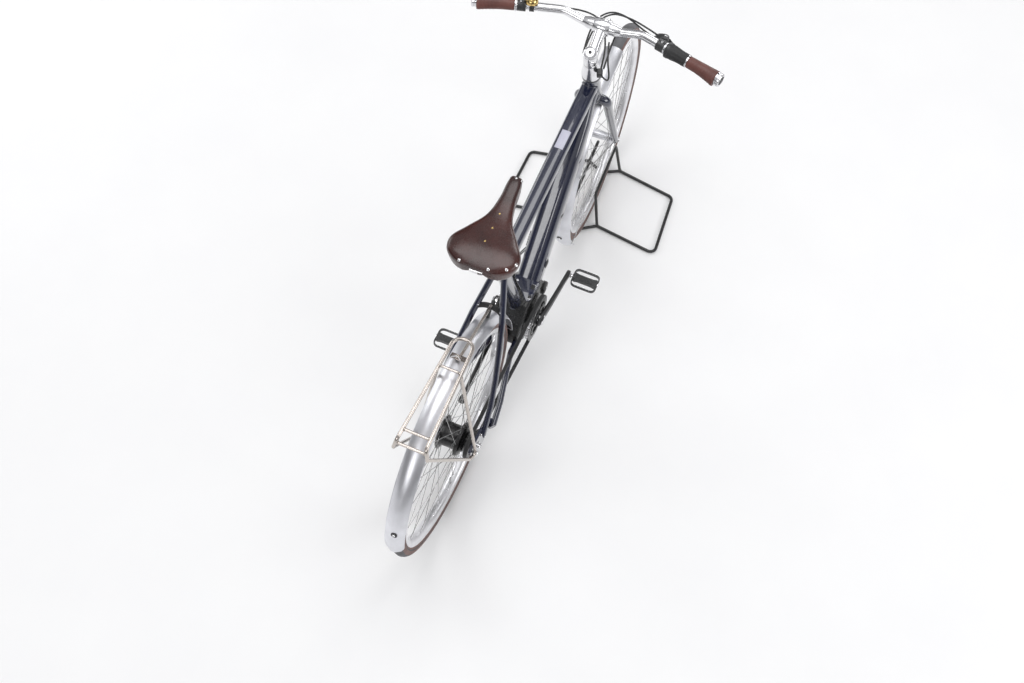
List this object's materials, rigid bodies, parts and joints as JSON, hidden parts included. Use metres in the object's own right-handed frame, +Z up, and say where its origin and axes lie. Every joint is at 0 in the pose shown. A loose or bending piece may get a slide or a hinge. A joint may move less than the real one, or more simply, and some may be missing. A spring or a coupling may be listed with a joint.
{
  "type": "electric city bicycle",
  "caption": "Electric city bicycle with belt drive, gear hub, rear rack, leather saddle and mudguards, held upright by a rod stand at its front wheel.",
  "frame": {"origin": "On the floor, below the middle of the whole object's length and width, with both tyres resting on z = 0.", "axes": "+X forward, +Y to the rider's left, +Z up. The frame's middle plane is y = 0; the bars and front wheel stand turned 2.4 degrees to the left."},
  "size_m": [1.8261, 0.6914, 1.0248],
  "materials": {
    "navy_paint": "gloss",
    "black_metal": "satin",
    "polished_alloy": "polished",
    "satin_alloy": "satin",
    "steel_rod": "satin",
    "wire_steel": "polished",
    "brown_leather": "satin",
    "tyre_rubber": "matte",
    "black_rubber": "matte",
    "black_plastic": "satin",
    "brass": "polished",
    "chrome": "polished"
  },
  "bodies": {
    "front_assembly": {"fork": "navy_paint", "headset_cone": "polished_alloy", "cable_guide": "black_plastic", "stem": "polished_alloy", "handlebar": "polished_alloy", "grip_left": "brown_leather", "grip_right": "brown_leather", "grip_rings": "polished_alloy", "twist_shifter": "black_plastic", "lever_clamps": "black_plastic", "brake_lever_left": "polished_alloy", "brake_lever_right": "polished_alloy", "bell": "brass", "control_cables": "black_rubber", "front_mudguard": "satin_alloy", "front_mudguard_stays": "wire_steel", "front_axle": "wire_steel", "stand_feet": "black_metal", "stand_hoops": "black_metal"},
    "frame": {"head_tube": "navy_paint", "headset_cups": "black_metal", "down_tube": "navy_paint", "top_tube": "navy_paint", "seat_tube": "navy_paint", "seat_stays": "navy_paint", "chain_stays": "navy_paint", "dropouts": "navy_paint", "stay_bridge": "black_metal", "drive_motor": "black_metal", "seat_clamp": "black_metal", "seat_post": "polished_alloy", "saddle_leather": "brown_leather", "saddle_rails": "chrome", "rear_mudguard": "satin_alloy", "rack_platform": "steel_rod", "rack_tie": "steel_rod", "rack_struts_front": "steel_rod", "rack_struts_rear": "steel_rod", "kickstand_mount": "black_metal", "drive_belt": "black_rubber", "rear_axle": "black_metal"},
    "front_wheel": {"front_tyre": "tyre_rubber", "front_rim": "satin_alloy", "front_spokes": "wire_steel", "front_hub": "satin_alloy"},
    "rear_wheel": {"rear_tyre": "tyre_rubber", "rear_rim": "satin_alloy", "rear_spokes": "wire_steel", "rear_hub": "black_metal", "rear_belt_wheel": "black_metal"},
    "crankset": {"crank_spindle": "black_metal", "crank_right": "black_metal", "crank_left": "black_metal", "front_belt_wheel": "black_metal"},
    "pedal_right": {"pedal_right": "black_plastic"},
    "pedal_left": {"pedal_left": "black_plastic"},
    "kickstand": {"kickstand": "black_metal"}
  },
  "joints": [
    {"name": "steering", "type": "hinge", "parent": "front_assembly", "child": "frame", "pos_m": [0.38983, 0, 0.76714], "axis": [-0.3007, 0, 0.9537], "range_deg": [-47.6, 52.4]},
    {"name": "front_wheel_spin", "type": "hinge", "parent": "front_assembly", "child": "front_wheel", "pos_m": [0.56327, 0.00168, 0.34999], "axis": [-0.0399, 0.9991, -0.0126], "continuous": true},
    {"name": "rear_wheel_spin", "type": "hinge", "parent": "frame", "child": "rear_wheel", "pos_m": [-0.5517, 0, 0.35], "axis": [0, 1, 0], "continuous": true},
    {"name": "crank_turn", "type": "hinge", "parent": "frame", "child": "crankset", "pos_m": [-0.0917, 0, 0.291], "axis": [0, 1, 0], "continuous": true},
    {"name": "pedal_right_spin", "type": "hinge", "parent": "crankset", "child": "pedal_right", "pos_m": [0.0781, -0.14, 0.2993], "axis": [0, 1, 0], "continuous": true},
    {"name": "pedal_left_spin", "type": "hinge", "parent": "crankset", "child": "pedal_left", "pos_m": [-0.2615, 0.14, 0.2827], "axis": [0, 1, 0], "continuous": true},
    {"name": "kickstand_fold", "type": "hinge", "parent": "frame", "child": "kickstand", "pos_m": [-0.1797, 0.041, 0.254], "axis": [0, 0.9256, 0.3785], "range_deg": [-100, 0]}
  ]
}
